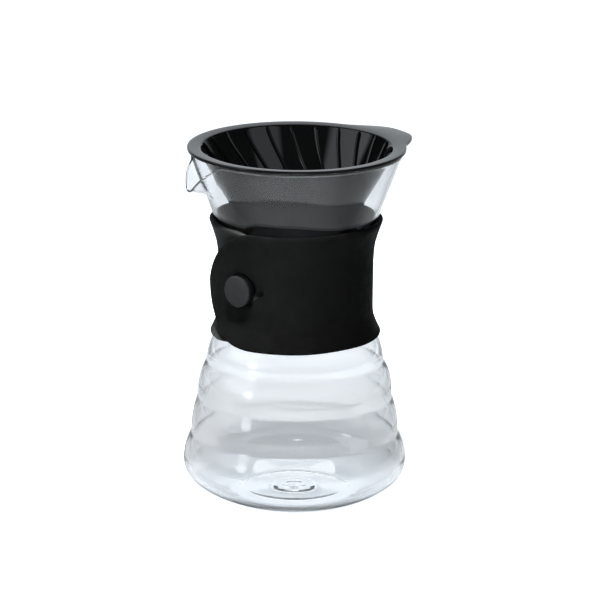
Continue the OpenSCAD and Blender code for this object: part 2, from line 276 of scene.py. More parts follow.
def tube(bm, across, around, place):
    """Grid that goes where place(row, column) says, closed to a tube with its ends filled"""
    made = bmesh.ops.create_grid(bm, x_segments=across, y_segments=around, size=0.5)["verts"]
    for v in made:
        v.co = place(round((v.co.x + 0.5) * across), round((v.co.y + 0.5) * around) % around)
    kept = set(bm.verts) - set(made)
    bmesh.ops.remove_doubles(bm, verts=made, dist=TUBE_MERGE)
    own = [v for v in bm.verts if v not in kept]
    rims = list({e for v in own for e in v.link_edges if e.is_boundary})
    bmesh.ops.holes_fill(bm, edges=rims, sides=0)
    faces = list({f for v in own for f in v.link_faces})
    bmesh.ops.recalc_face_normals(bm, faces=faces)
    return own, faces


def piece_from(bm, name, material, sharp=None):
    """Object of a finished bmesh, smooth except at edges over the sharp angle"""
    mesh = bpy.data.meshes.new(name)
    bm.to_mesh(mesh)
    bm.free()
    mesh.shade_smooth()
    if sharp is not None:
        mesh.set_sharp_from_angle(angle=sharp)
    piece = bpy.data.objects.new(name, mesh)
    bpy.context.scene.collection.objects.link(piece)
    if material is not None:
        mesh.materials.append(material)
    return piece


# Glass

# Rows along the outline: hollow of the base, foot, bowl, steps, neck and funnel
BASE_ROWS, FOOT_ROWS, BOWL_ROWS, STEP_ROWS, FUNNEL_ROWS = 40, 4, 24, 90, 72
# Rings in the base: how many, and the share of their radius where the outer one ends
RINGS, RING_END = 2, 1.125
# The glass thins towards the spout: start and run of that in height, and in angle to each side
THIN_Z, THIN_RISE, THIN_ANGLE, THIN_TURN = 0.15, 0.045, radians(75), radians(50)
# Wall that is drawn into the spout: height and half angle, and where and over how far the draw fades
DRAWN_HEIGHT, DRAWN_ANGLE, FADE_ANGLE, FADE_TURN = 0.045, radians(27.5), radians(19), radians(8)
# Rounds that find the height of the spout's root, and passes that smooth the drawn wall
ROOT_ROUNDS, SMOOTH_PASSES = 40, 6
# Rounding of the rim: share of the edge in per cent, rows, and the least angle of an edge that is rounded
RIM_SHARE, RIM_ROWS, RIM_ANGLE = 42, 5, radians(62)


def glass_radius(g, z, crease=None):
    """Radius of the glass at a height above the belly, with its own creases or softer ones"""
    crease = crease or g.crease
    radius = last = g.belly_r
    start = g.belly_z
    for step_r in (g.step1_r, g.step2_r, g.step3_r):
        share = max(z - start, 0) / g.step_run
        radius -= (last - step_r) * max(soft_min(share * share, 1, crease), 0)
        start += g.step_pitch
        last = step_r
    radius -= (last - g.waist_r) * ease((z - g.neck_z) / g.neck_run)
    lean = math.tan(g.funnel_angle)
    funnel_z = g.rim_z - (g.mouth_r - g.waist_r) / lean
    return radius + lean * soft_plus(z - funnel_z, g.funnel_soft)


def glass_outline(g):
    """Outer outline of the glass from the middle of its base to the rim"""
    ring = g.foot_r - g.foot_w
    hollow = ring - 2 * g.foot_w
    points = []
    for i in range(BASE_ROWS):
        r = ring * i / BASE_ROWS
        points.append((r, g.punt_h * (1 - ease((r - hollow) / (ring - hollow)))))
    points += [(ring + g.foot_w * i / FOOT_ROWS, 0.0) for i in range(FOOT_ROWS)]
    a = Vector((g.foot_r, 0))
    b = Vector((g.foot_r + g.bowl_run * (g.belly_r - g.foot_r), g.bowl_rise * g.belly_z))
    c = Vector((g.belly_r, g.bowl_turn * g.belly_z))
    d = Vector((g.belly_r, g.belly_z))
    for i in range(BOWL_ROWS):
        t = i / BOWL_ROWS
        u = 1 - t
        points.append(tuple(u ** 3 * a + 3 * u ** 2 * t * b + 3 * u * t * t * c + t ** 3 * d))
    top = g.rim_z - g.wall * math.sin(g.funnel_angle)
    for low, high, rows in ((g.belly_z, g.neck_z, STEP_ROWS), (g.neck_z, top, FUNNEL_ROWS)):
        heights = [low + (high - low) * i / rows for i in range(rows)]
        points += [(glass_radius(g, z), z) for z in heights]
    points.append((glass_radius(g, top), top))
    return points


def glass_thickness(g, place):
    """Thickness of the glass: thinner at the creases and the spout, thicker in the base with its rings"""
    r, z = place.xy.length, place.z
    if z > g.neck_z:
        turned = abs(math.atan2(place.y, -place.x))
        spout = ease((THIN_ANGLE - turned) / THIN_TURN)
        return g.wall - (g.wall - g.rim_t) * spout * ease((z - THIN_Z) / THIN_RISE)
    if z > g.belly_z:
        return g.wall + glass_radius(g, z) - glass_radius(g, z, g.inner_crease)
    if z > g.belly_z / 4:
        return g.wall
    body = g.wall + (g.base_t - g.mark_h - g.wall) * (1 - ease(r / g.foot_r))
    rings = math.cos(RINGS * TURN * r / g.mark_r) if r < g.mark_r * RING_END else 0
    return body + g.mark_h * max(rings, 0)


def groove_height(g, out, side):
    """Height of the spout's underside at a distance from the axis and to the side"""
    half = g.spout_angle / 2
    r = g.spout_round + g.wall
    side = abs(side)
    if side < r * math.cos(half):
        lift = g.spout_round - math.sqrt(r * r - side * side)
    else:
        lift = g.spout_round - r * math.sin(half) + (side - r * math.cos(half)) / math.tan(half)
    bottom = g.rim_z - g.spout_drop + (out - g.spout_reach) * math.tan(g.spout_rise)
    return bottom + lift / math.cos(g.spout_rise)


def spout_column(g, turned, rim):
    """Height where the wall turns out into the spout, and the reach of the spout from there"""
    z = rim
    for _ in range(ROOT_ROUNDS):
        r = glass_radius(g, z)
        z = groove_height(g, r * math.cos(turned), r * math.sin(turned))
    fade = 1 - ease((abs(turned) - FADE_ANGLE) / FADE_TURN)
    top = rim - (rim - soft_min(rim, z, g.spout_soft)) * fade
    r = glass_radius(g, top)
    side = r * math.sin(turned)
    lip = g.spout_reach - g.lip_r + math.sqrt(max(g.lip_r ** 2 - side ** 2, 0))
    return top, soft_plus(lip - r * math.cos(turned), g.spout_soft) * fade


def pull_spout(bm, g, rim):
    """Draws the spout out of the wall on the -X side"""
    low = rim - DRAWN_HEIGHT
    drawn = []
    columns = {}
    for v in bm.verts:
        turned = math.atan2(v.co.y, -v.co.x)
        if v.co.z < low or abs(turned) > DRAWN_ANGLE:
            continue
        key = round(turned, 5)
        if key not in columns:
            columns[key] = spout_column(g, turned, rim)
        top, reach = columns[key]
        r_top = glass_radius(g, top)
        wall = math.hypot(top - low, r_top - glass_radius(g, low))
        out = reach / math.cos(g.spout_rise)
        along = (v.co.z - low) / (rim - low) * (wall + out)
        if along <= wall or reach < 1e-6:
            past = 0
            z = low + (top - low) * min(along / wall, 1)
            r = glass_radius(g, z)
        else:
            past = (along - wall) / out * reach
            z = top + past * math.tan(g.spout_rise)
            r = r_top
        v.co = (-r * math.cos(turned) - past, r * math.sin(turned), z)
        drawn.append(v)
    inner = [v for v in drawn if not v.is_boundary]
    for _ in range(SMOOTH_PASSES):
        bmesh.ops.smooth_vert(bm, verts=inner, factor=0.5, use_axis_x=True, use_axis_y=True, use_axis_z=True)


# Dripper

# Section of a rib from its root in the wall to its ridge: side in widths, height in heights
RIB_SECTION = ((-0.5, -0.5), (0.5, -0.5), (0.5, 0.68), (0.1, 0.92), (0, 0.95), (-0.1, 0.92), (-0.5, 0.68))
RIB_ROWS = 36
# Length over which a rib grows at its top and dies away at its end, and the share that each starts from
RIB_TOP_RUN, RIB_TOP_SHARE, RIB_END_RUN, RIB_END_SHARE = 0.003, 0.35, 0.008, 0.1
CORNER_ROWS = 4
SHARP_PLASTIC = radians(40)


def cone_slant(d):
    """Length of the cone's inside from the top to the outlet"""
    return (d.open_r - d.outlet_r) / math.sin(d.lean)


def cone_outline(d):
    """Corners of the cone and flange in section, each with the radius it is rounded by"""
    side = d.wall / math.cos(d.lean)
    outlet_z = d.top_z - (d.open_r - d.outlet_r) / math.tan(d.lean)
    under = d.top_z - d.flange_t
    slope = Vector((math.sin(d.lean), 0, math.cos(d.lean)))
    low_in, low_out = Vector((d.outlet_r, 0, outlet_z)), Vector((d.outlet_r + side, 0, outlet_z))
    high_out = Vector((d.open_r + side - d.flange_t * math.tan(d.lean), 0, under))
    high_in = Vector((d.open_r - d.dish * math.tan(d.lean), 0, d.top_z - d.dish))
    hold = 3 * d.edge * slope
    corners = [(low_in, d.edge), (low_out, d.edge), (low_out + hold, 0)]
    corners += [(high_out - 2 * hold, 0), (high_out, 3 * d.edge)]
    corners += [(Vector((d.flange_r, 0, under)), d.edge), (Vector((d.flange_r, 0, d.top_z)), d.edge)]
    for share in (0.75, 0.5, 0.25):
        r = high_in.x + share * (d.flange_r - high_in.x)
        corners.append((Vector((r, 0, d.top_z - d.dish * (1 - share) ** 2)), 0))
    return corners + [(high_in, d.edge), (high_in - hold, 0), (low_in + hold, 0)]


def pull_tab(bm, d):
    """Draws the thumb tab out of the flange's edge"""
    for v in bm.verts:
        r = math.hypot(v.co.x, v.co.y)
        if r < d.flange_r - 1.5 * d.edge:
            continue
        turned = math.remainder(math.atan2(v.co.y, v.co.x) - d.tab_turn, TURN)
        reach = d.tab_reach * ease(1 - (abs(turned) - d.tab_end) / d.tab_side)
        v.co.x *= 1 + reach / r
        v.co.y *= 1 + reach / r


def add_ribs(bm, d, length, turned):
    """One curved rib on the inside of the cone, and its copies round the axis"""
    slant = cone_slant(d)

    def place(i, j):
        s = d.rib_start + length * i / RIB_ROWS
        side, height = RIB_SECTION[j]
        fade = ease((s - d.rib_start) / RIB_TOP_RUN + RIB_TOP_SHARE)
        fade *= ease((d.rib_start + length - s) / RIB_END_RUN + RIB_END_SHARE)
        height *= d.rib_h * (fade if height > 0 else 1)
        side *= d.rib_w * (0.5 + 0.5 * fade)
        r = d.open_r - s * math.sin(d.lean) - height * math.cos(d.lean)
        a = turned - d.rib_swirl * (s / slant) ** d.rib_gather
        return (
            r * math.cos(a) - side * math.sin(a),
            r * math.sin(a) + side * math.cos(a),
            d.top_z - s * math.cos(d.lean) + height * math.sin(d.lean),
        )

    verts, faces = tube(bm, RIB_ROWS, len(RIB_SECTION), place)
    bmesh.ops.spin(
        bm, geom=verts + faces, cent=(0, 0, 0), axis=(0, 0, 1), angle=TURN * (d.ribs - 1) / d.ribs,
        steps=d.ribs - 1, use_duplicate=True
    )


# Band and button

# Rows up each face of the band, and angles of the rows round its edges
SIDE_ROWS = 22
EDGE_ANGLES = tuple(radians(a) for a in (150, 120, 90, 60, 30))
BAND_RING = 2 * (SIDE_ROWS + 1) + 2 * len(EDGE_ANGLES)
# Rows along the inner layer: its rounded end and its run
TUCK_ROWS, INNER_ROWS = 30, 50
# Rows along the outer layer: its run, its climb on to the inner end, its lap and its rounded end
WRAP_ROWS, CLIMB_ROWS, LAP_ROWS, END_ROWS = 36, 24, 20, 36
# How the rows gather towards a rounded tip
TIP_GATHER = 1.8
# Share of the lower rounding where the painted light that makes the tucked end paler starts to fade
TUCK_LIGHT_FADE = 1.3
SHARP_RUBBER = radians(38)
# Rows round the hole and the end of its tail, and where the cut starts inside the flap and how deep it is
HOLE_ROWS, TAIL_ROWS, CUT_START, CUT_DEPTH = 56, 12, 0.004, 0.02
# Faces round the button, rows over its edge and dome, how far its disc is set into the band, and the
# break of its head's back edge
BUTTON_STEPS, HEAD_ROWS, DOME_ROWS, SEAT_DEPTH, HEAD_BREAK = 72, 6, 8, 0.0001, 0.0003


def band_point(g, b, station, j):
    """Point of the outline across the band at one station: direction, lower and upper edge, stand-off"""
    angle, low, high, off = station
    h = b.thick / 2
    z0 = low + h
    z1 = max(high - h, z0 + h / 4)
    sides, edges = SIDE_ROWS + 1, len(EDGE_ANGLES)
    if j < sides:
        z = z0 + (z1 - z0) * j / SIDE_ROWS
        r = glass_radius(g, z) + b.fit + off
    elif j < sides + edges:
        e = EDGE_ANGLES[j - sides]
        z, r = z1 + h * math.sin(e), glass_radius(g, z1) + b.fit + off + h + h * math.cos(e)
    elif j < 2 * sides + edges:
        z = z1 - (z1 - z0) * (j - sides - edges) / SIDE_ROWS
        r = glass_radius(g, z) + b.fit + off + b.thick
    else:
        e = EDGE_ANGLES[2 * (sides + edges) - 1 - j]
        z, r = z0 - h * math.sin(e), glass_radius(g, z0) + b.fit + off + h + h * math.cos(e)
    return (r * math.cos(angle), r * math.sin(angle), z)


def swell(share, fullness):
    """Half height at a share of a rounded end, 0 at its tip and 1 where it starts"""
    return (1 - (1 - min(share, 1)) ** fullness) ** (1 / fullness)


def band_middle(b):
    """Height of the band's middle"""
    return b.low_z + b.height / 2


def rounded_station(b, angle, from_tip, high_turn, low_turn, off):
    """Station of a rounded end"""
    middle, half = band_middle(b), b.height / 2
    return (
        angle,
        middle - half * swell(from_tip / low_turn, b.round_low),
        middle + half * swell(from_tip / high_turn, b.round_high),
        off,
    )


def sweep_band(bm, g, b, stations):
    """Band through a row of stations"""
    tube(bm, len(stations) - 1, BAND_RING, lambda i, j: band_point(g, b, stations[i], j))


def button_place(b):
    """Frame of the button: Z out along its direction, Y along the band towards the fold"""
    return (
        Matrix.Translation((0, 0, band_middle(b)))
        @ Matrix.Rotation(b.button_turn, 4, "Z")
        @ Matrix.Rotation(math.pi / 2, 4, "Y")
    )


def band_seat(g, b):
    """Distance of the band's inner face from the axis at the button"""
    return glass_radius(g, band_middle(b)) + b.fit


def flap_face(g, b):
    """Distance of the flap's outer face from the axis at the button"""
    return band_seat(g, b) + 2 * b.thick + b.lap_gap


def cut_hole(piece, g, b, k):
    """Cuts the teardrop hole for the button through the flap"""
    bm = bmesh.new()
    hole_r = k.head_r + k.hole_gap
    root = math.asin(k.tail_root / hole_r)
    arc = [math.pi / 2 + root + (TURN - 2 * root) * i / HOLE_ROWS for i in range(HOLE_ROWS + 1)]
    points = [(hole_r * math.cos(a), hole_r * math.sin(a)) for a in arc]
    arc = [math.pi * i / TAIL_ROWS for i in range(TAIL_ROWS + 1)]
    points += [(k.tail_r * math.cos(a), k.tail_reach - k.tail_r + k.tail_r * math.sin(a)) for a in arc]
    inner = band_seat(g, b) + b.thick + b.lap_gap / 2
    _, edges = wire(bm, [(x, y, inner - CUT_START) for x, y in points], closed=True)
    face = bmesh.ops.contextual_create(bm, geom=edges)["faces"]
    raised = bmesh.ops.extrude_face_region(bm, geom=face)["geom"]
    raised = [v for v in raised if isinstance(v, bmesh.types.BMVert)]
    bmesh.ops.translate(bm, verts=raised, vec=(0, 0, CUT_DEPTH))
    bmesh.ops.recalc_face_normals(bm, faces=bm.faces)
    bmesh.ops.transform(bm, matrix=button_place(b), verts=bm.verts)
    cutter = piece_from(bm, "hole_cutter", None)
    cut = piece.modifiers.new("hole", "BOOLEAN")
    cut.operation, cut.solver, cut.object = "DIFFERENCE", "EXACT", cutter
    graph = bpy.context.evaluated_depsgraph_get()
    mesh = bpy.data.meshes.new_from_object(piece.evaluated_get(graph))
    piece.modifiers.clear()
    old, piece.data = piece.data, mesh
    mesh.name = piece.name
    bpy.data.meshes.remove(old)
    bpy.data.objects.remove(cutter)
    mesh.shade_smooth()
    mesh.set_sharp_from_angle(angle=SHARP_RUBBER)


# Finishes

GLASS_IOR, PLASTIC_IOR = 1.47, 1.5


class Nodes:
    """Node tree of a finish or of the room, with short ways to add and join its nodes"""

    def __init__(self, tree, coordinates="Object"):
        self.tree = tree
        self.place = self.add("TexCoord").outputs[coordinates]

    def feed(self, socket, value):
        """Joins an output to a socket, or sets the socket to a number, vector or colour"""
        if isinstance(value, bpy.types.NodeSocket):
            self.tree.links.new(value, socket)
        else:
            socket.default_value = (*value, 1) if socket.type == "RGBA" else value

    def add(self, kind, sockets=(), **settings):
        """New node with its settings made and its sockets fed"""
        node = self.tree.nodes.new("ShaderNode" + kind)
        for name, value in settings.items():
            setattr(node, name, value)
        for name, value in dict(sockets).items():
            self.feed(node.inputs[name], value)
        return node

    def noise(self, scale, detail, rough=0.5):
        """Noise on the coordinates"""
        sockets = {"Vector": self.place, "Scale": scale, "Detail": detail, "Roughness": rough}
        return self.add("TexNoise", sockets).outputs["Fac"]

    def spread(self, value, low, high, start=0.3, stop=0.7, shape="LINEAR"):
        """Value that runs from low to high while another runs from start to stop"""
        sockets = {"Value": value, "From Min": start, "From Max": stop, "To Min": low, "To Max": high}
        return self.add("MapRange", sockets, interpolation_type=shape).outputs["Result"]

    def between(self, share, low, high, kind="RGBA"):
        """Mix of two colours, or of two numbers where kind is FLOAT"""
        return self.add("Mix", {"Factor": share, "A": low, "B": high}, data_type=kind).outputs["Result"]

    def bump(self, height, distance, strength, under=None):
        """Normal of a relief, on top of the one under it"""
        sockets = {"Height": height, "Distance": distance, "Strength": strength}
        if under is not None:
            sockets["Normal"] = under
        return self.add("Bump", sockets).outputs["Normal"]

    def painted(self, name):
        """Attribute of the mesh"""
        return self.add("Attribute", attribute_name=name).outputs["Fac"]

    def reckon(self, operation, *values):
        """Result of a sum on values"""
        return self.add("Math", enumerate(values), operation=operation).outputs["Value"]

    def measure(self, operation, *vectors):
        """Number worked out from vectors"""
        return self.add("VectorMath", enumerate(vectors), operation=operation).outputs["Value"]

    def along(self, direction):
        """How far a point lies along a direction"""
        return self.measure("DOT_PRODUCT", self.place, direction)


class Finish(Nodes):
    """New material, dressed by the names of its shader's sockets"""

    def __init__(self, name):
        self.material = bpy.data.materials.new(name)
        self.material.use_nodes = True
        super().__init__(self.material.node_tree)

    def dress(self, sockets):
        """Feeds the shader's sockets and gives the material"""
        for name, value in sockets.items():
            self.feed(self.tree.nodes["Principled BSDF"].inputs[name], value)
        return self.material


def shade(colour, factor):
    """Darker or lighter shade of a colour"""
    return [c * factor for c in colour]


def glass_finish(colour):
    """Clear blown glass with a faint wave in its surface"""
    finish = Finish("clear_blown_glass")
    wave = finish.noise(scale=38, detail=1, rough=0.3)
    return finish.dress({
        "Base Color": colour,
        "Transmission Weight": 1.0,
        "IOR": GLASS_IOR,
        "Roughness": finish.spread(finish.noise(scale=60, detail=3), 0.0, 0.02),
        "Normal": finish.bump(wave, distance=0.0004, strength=0.12),
    })


def rim_finish(colour):
    """Rim painted pale to stand in for the light that the glass gathers from inside the wall, and darker at
    the lip
    """
    finish = Finish("rim_painted_light")
    lip = finish.spread(finish.along((1, 0, 0)), 0, 1, start=-0.067, stop=-0.055)
    return finish.dress({
        "Base Color": finish.between(lip, shade(colour, 0.3), colour),
        "Transmission Weight": 0.2,
        "IOR": GLASS_IOR,
        "Roughness": finish.spread(finish.noise(scale=60, detail=3), 0.1, 0.2),
    })


def plastic_finish(colour):
    """Black moulded plastic with a high gloss and slight flow marks"""
    finish = Finish("black_moulded_plastic")
    flow = finish.bump(finish.noise(scale=35, detail=2), distance=0.0004, strength=0.08)
    skin = finish.noise(scale=900, detail=2)
    marks = finish.noise(scale=45, detail=4)
    return finish.dress({
        "Base Color": finish.between(marks, shade(colour, 0.8), shade(colour, 1.3)),
        "Roughness": finish.spread(finish.noise(scale=70, detail=5, rough=0.6), 0.02, 0.05),
        "IOR": PLASTIC_IOR,
        "Normal": finish.bump(skin, distance=0.00001, strength=0.05, under=flow),
    })


def rubber_finish(colour, bloom):
    """Matt black rubber with a fine tooth and a faint uneven bloom; painted shade on one side, painted light
    on the tucked end
    """
    finish = Finish("matt_black_rubber")
    worn = finish.between(finish.spread(finish.noise(scale=55, detail=6, rough=0.65), 0, 1), colour, bloom)
    # Painted shade: the rubber is darker towards one side, along a fixed direction
    side = finish.spread(finish.along((-0.73, 0.32, 0.6)), 0, 1, start=0.035, stop=0.125)
    body = finish.between(side, shade(colour, 0.4), worn)
    wave = finish.bump(finish.noise(scale=30, detail=2), distance=0.0008, strength=0.12)
    tooth = finish.noise(scale=2600, detail=3, rough=0.6)
    return finish.dress({
        # Painted light: the tucked end is paler, as where light falls on it
        "Base Color": finish.between(finish.painted("tuck"), body, shade(bloom, 4.5)),
        "Roughness": finish.spread(finish.noise(scale=160, detail=4), 0.6, 0.75),
        "Specular IOR Level": 0.06,
        "Normal": finish.bump(tooth, distance=0.00012, strength=0.35, under=wave),
    })


def button_finish(colour):
    """Satin dark grey plastic with a fine moulded grain, with painted shade that makes its side darker"""
    finish = Finish("satin_grey_plastic")
    grain = finish.between(finish.noise(scale=180, detail=5), shade(colour, 0.85), shade(colour, 1.2))
    return finish.dress({
        # Painted shade: the side of the head is darker than its front
        "Base Color": finish.between(finish.painted("face"), shade(colour, 0.12), grain),
        "Roughness": finish.spread(finish.noise(scale=240, detail=4), 0.5, 0.62),
        "Specular IOR Level": 0.12,
        "Normal": finish.bump(finish.noise(scale=2200, detail=3), distance=0.00008, strength=0.3),
    })


# Studio

# Soft boxes: degrees left of the camera, degrees up, inner and outer half angle in degrees, strength
SOFT_BOXES = ((58, 12, 0.3, 8.5, 4.5), (80, 33, 20, 30, 1.2), (-48, 40, 13, 20, 0.7))
FLOOR_HALF, FLOOR_DROP = 9, 0.0002
FLOOR_LIGHT = (0.845, 0.92, 1.0)
# Share of the floor's light that is left in the shade at the foot
FOOT_SHADE = 0.05
SENSOR = 36
CLIP_START, CLIP_END = 0.05, 60


def toward(s, left, up):
    """Direction given in degrees left of the camera and degrees up"""
    left, up = radians(left), radians(up)
    to_camera = Vector((math.sin(s.azimuth), -math.cos(s.azimuth), 0))
    to_left = Vector((-math.cos(s.azimuth), -math.sin(s.azimuth), 0))
    level = math.cos(left) * to_camera + math.sin(left) * to_left
    return math.cos(up) * level + Vector((0, 0, math.sin(up)))


def make_floor(s):
    """Pale floor, which lights the glass from below in a pattern that the camera doesn't see"""
    bm = bmesh.new()
    bmesh.ops.create_grid(bm, x_segments=4, y_segments=4, size=FLOOR_HALF)
    bmesh.ops.translate(bm, verts=bm.verts, vec=(0, 0, -FLOOR_DROP))
    floor = Finish("pale_floor")
    sockets = {"Vector": floor.place, "Rotation": (0, 0, s.azimuth)}
    place = floor.add("Mapping", sockets, vector_type="TEXTURE").outputs["Vector"]
    apart = floor.add("SeparateXYZ", {"Vector": place})
    across, away = floor.reckon("ABSOLUTE", apart.outputs["X"]), apart.outputs["Y"]
    # A strip that brightens behind the object, a spot under it and the far end of the floor
    strip = floor.reckon(
        "MULTIPLY",
        floor.spread(away, s.glow, s.far_glow, start=0.17, stop=0.42),
        floor.spread(across, 1, 0.12, start=0.13, stop=0.35),
    )
    spot = floor.spread(floor.measure("DISTANCE", place, (0, -0.06, 0)), 0.33, 0, start=0.07, stop=0.15)
    far_end = floor.spread(away, 0, 0.8, start=0.8, stop=1.3)
    glow = floor.reckon("ADD", floor.reckon("ADD", strip, spot), far_end)
    # A ring of shade round the front of the foot
    middle = floor.measure("LENGTH", place)
    under = floor.spread(middle, 1, FOOT_SHADE, start=0.040, stop=0.0435)
    beyond = floor.spread(middle, FOOT_SHADE, 1, start=0.047, stop=0.057)
    rear = floor.spread(away, 0, 1, start=-0.03, stop=0.01)
    clear = floor.reckon("MAXIMUM", floor.reckon("MAXIMUM", under, beyond), rear)
    seen = floor.add("LightPath").outputs["Is Camera Ray"]
    material = floor.dress({
        "Base Color": floor.between(floor.noise(scale=3, detail=2), shade(s.floor, 0.985), s.floor),
        "Roughness": 0.9,
        "Specular IOR Level": 0.1,
        "Emission Color": FLOOR_LIGHT,
        "Emission Strength": floor.between(seen, floor.reckon("MULTIPLY", glow, clear), s.seen_glow, "FLOAT"),
    })
    piece_from(bm, "floor", material)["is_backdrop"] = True


def make_room(scene, s):
    """Room that is white behind the object and dim on the camera's side, with soft boxes painted into it"""
    world = scene.world or bpy.data.worlds.new("studio")
    scene.world = world
    world.use_nodes = True
    world.cycles_visibility.diffuse = False
    world.node_tree.nodes.clear()
    room = Nodes(world.node_tree, "Generated")

    def glow(direction, low, high, start, stop):
        return room.spread(room.along(direction), low, high, start, stop, "SMOOTHSTEP")

    light = glow(toward(s, 180, 0), s.front, s.back, start=0.68, stop=0.96)
    for left, up, inner, outer, strength in SOFT_BOXES:
        edge, full = math.cos(radians(outer)), math.cos(radians(inner))
        light = room.reckon("ADD", light, glow(toward(s, left, up), 0, strength, edge, full))
    path = room.add("LightPath")
    above = glow((0, 0, 1), s.edge, s.above, start=0, stop=0.4)
    light = room.reckon("ADD", light, room.reckon("MULTIPLY", above, path.outputs["Is Transmission Ray"]))
    seen = room.between(path.outputs["Is Camera Ray"], light, 1.0, "FLOAT")
    sky = room.add("Background", {"Color": s.sky, "Strength": seen})
    room.add("OutputWorld", {"Surface": sky.outputs["Background"]})


def make_light(scene, name, place, aim, width, height, power):
    """Soft lamp that doesn't show in gloss"""
    lamp = bpy.data.lights.new(name, "AREA")
    lamp.shape, lamp.size, lamp.size_y, lamp.energy = "RECTANGLE", width, height, power
    light = bpy.data.objects.new(name, lamp)
    light.location = place
    light.rotation_euler = (Vector(aim) - Vector(place)).to_track_quat("-Z", "Y").to_euler()
    light.visible_glossy = False
    scene.collection.objects.link(light)
    return lamp


def make_camera(scene, s):
    """Camera that looks at the aim from its distance and angles"""
    lens = bpy.data.cameras.new("camera")
    lens.lens, lens.sensor_width = s.lens, SENSOR
    lens.clip_start, lens.clip_end = CLIP_START, CLIP_END
    camera = bpy.data.objects.new("camera", lens)
    back = Vector((
        math.sin(s.azimuth) * math.cos(s.elevation),
        -math.cos(s.azimuth) * math.cos(s.elevation),
        math.sin(s.elevation),
    ))
    camera.location = Vector(s.centre) + s.distance * back
    look = (Vector(s.aim) - camera.location).to_track_quat("-Z", "Y").to_matrix().to_4x4()
    camera.rotation_euler = (look @ Matrix.Rotation(s.roll, 4, "Z")).to_euler()
    scene.collection.objects.link(camera)
    scene.camera = camera


# Operators

class SERVER_OT_glass(Operator):
    """Blow the glass: spun wall with its spout, thickness and a rim painted pale as light"""
    bl_idname = "server.glass"
    bl_label = "Glass"

    def execute(self, context):
        g, tint = context.scene.server_glass, context.scene.server_finish.glass
        outline = glass_outline(g)
        bm = bmesh.new()
        turn(bm, *wire(bm, [(r, 0, z) for r, z in outline]), g.steps)
        pull_spout(bm, g, outline[-1][1])
        piece = piece_from(bm, "glass", glass_finish(tint))
        # The rounded rim takes a second finish, painted pale as light
        piece.data.materials.append(rim_finish(tint))
        thick = piece.vertex_groups.new(name="thickness")
        for v in piece.data.vertices:
            thick.add([v.index], glass_thickness(g, v.co) / g.base_t, "REPLACE")
        wall = piece.modifiers.new("wall", "SOLIDIFY")
        wall.thickness, wall.offset, wall.vertex_group = g.base_t, -1, thick.name
        wall.use_even_offset = True
        rim = piece.modifiers.new("rim", "BEVEL")
        rim.offset_type, rim.width_pct, rim.segments, rim.profile = "PERCENT", RIM_SHARE, RIM_ROWS, 0.5
        rim.limit_method, rim.angle_limit, rim.material = "ANGLE", RIM_ANGLE, 1
        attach(piece, "carafe")
        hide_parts("carafe_glass")
        return {"FINISHED"}


class SERVER_OT_dripper(Operator):
    """Mould the drip cone: flange with its thumb tab, cone, outlet and curved ribs"""
    bl_idname = "server.dripper"
    bl_label = "Drip cone"

    def execute(self, context):
        d = context.scene.server_dripper
        bm = bmesh.new()
        corners = cone_outline(d)
        verts, _ = wire(bm, [point for point, _ in corners], closed=True)
        for v, (_, radius) in zip(verts, corners):
            if radius:
                bmesh.ops.bevel(
                    bm, geom=[v], offset=radius, offset_type="OFFSET", affect="VERTICES",
                    segments=CORNER_ROWS, profile=0.5, material=-1
                )
        turn(bm, list(bm.verts), list(bm.edges), d.steps)
        pull_tab(bm, d)
        long = cone_slant(d) - d.rib_start - d.rib_h
        add_ribs(bm, d, long, d.tab_turn)
        add_ribs(bm, d, long * d.rib_short, d.tab_turn + math.pi / d.ribs)
        finish = plastic_finish(context.scene.server_finish.plastic)
        piece = piece_from(bm, "drip_cone", finish, SHARP_PLASTIC)
        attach(piece, "dripper")
        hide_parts("dripper")
        return {"FINISHED"}


class SERVER_OT_band(Operator):
    """Wrap the inner layer of the grip band, from its tucked end to the back"""
    bl_idname = "server.band"
    bl_label = "Grip band"

    def execute(self, context):
        g, b = context.scene.server_glass, context.scene.server_band
        finish = context.scene.server_finish
        top = b.low_z + b.height
        tip = b.button_turn + b.tuck_tip
        span = max(b.tuck_high, b.tuck_low)
        turns = [span * (i / TUCK_ROWS) ** TIP_GATHER for i in range(1, TUCK_ROWS + 1)]
        stations = [rounded_station(b, tip - t, t, b.tuck_high, b.tuck_low, 0) for t in turns]
        run = tip - span - b.split
        turns = [tip - span - run * i / INNER_ROWS for i in range(1, INNER_ROWS + 1)]
        stations += [(t, b.low_z, top, 0) for t in turns]
        bm = bmesh.new()
        sweep_band(bm, g, b, stations)
        # Painted light: share of the paler tucked end, fading away from the inner tip
        tuck = bm.verts.layers.float.new("tuck")
        for v in bm.verts:
            v[tuck] = 1 - ease((tip - math.atan2(v.co.y, v.co.x)) % TURN / b.tuck_low - TUCK_LIGHT_FADE)
        piece = piece_from(bm, "band_inner", rubber_finish(finish.rubber, finish.dust), SHARP_RUBBER)
        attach(piece, "carafe")
        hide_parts("grip_band")
        return {"FINISHED"}


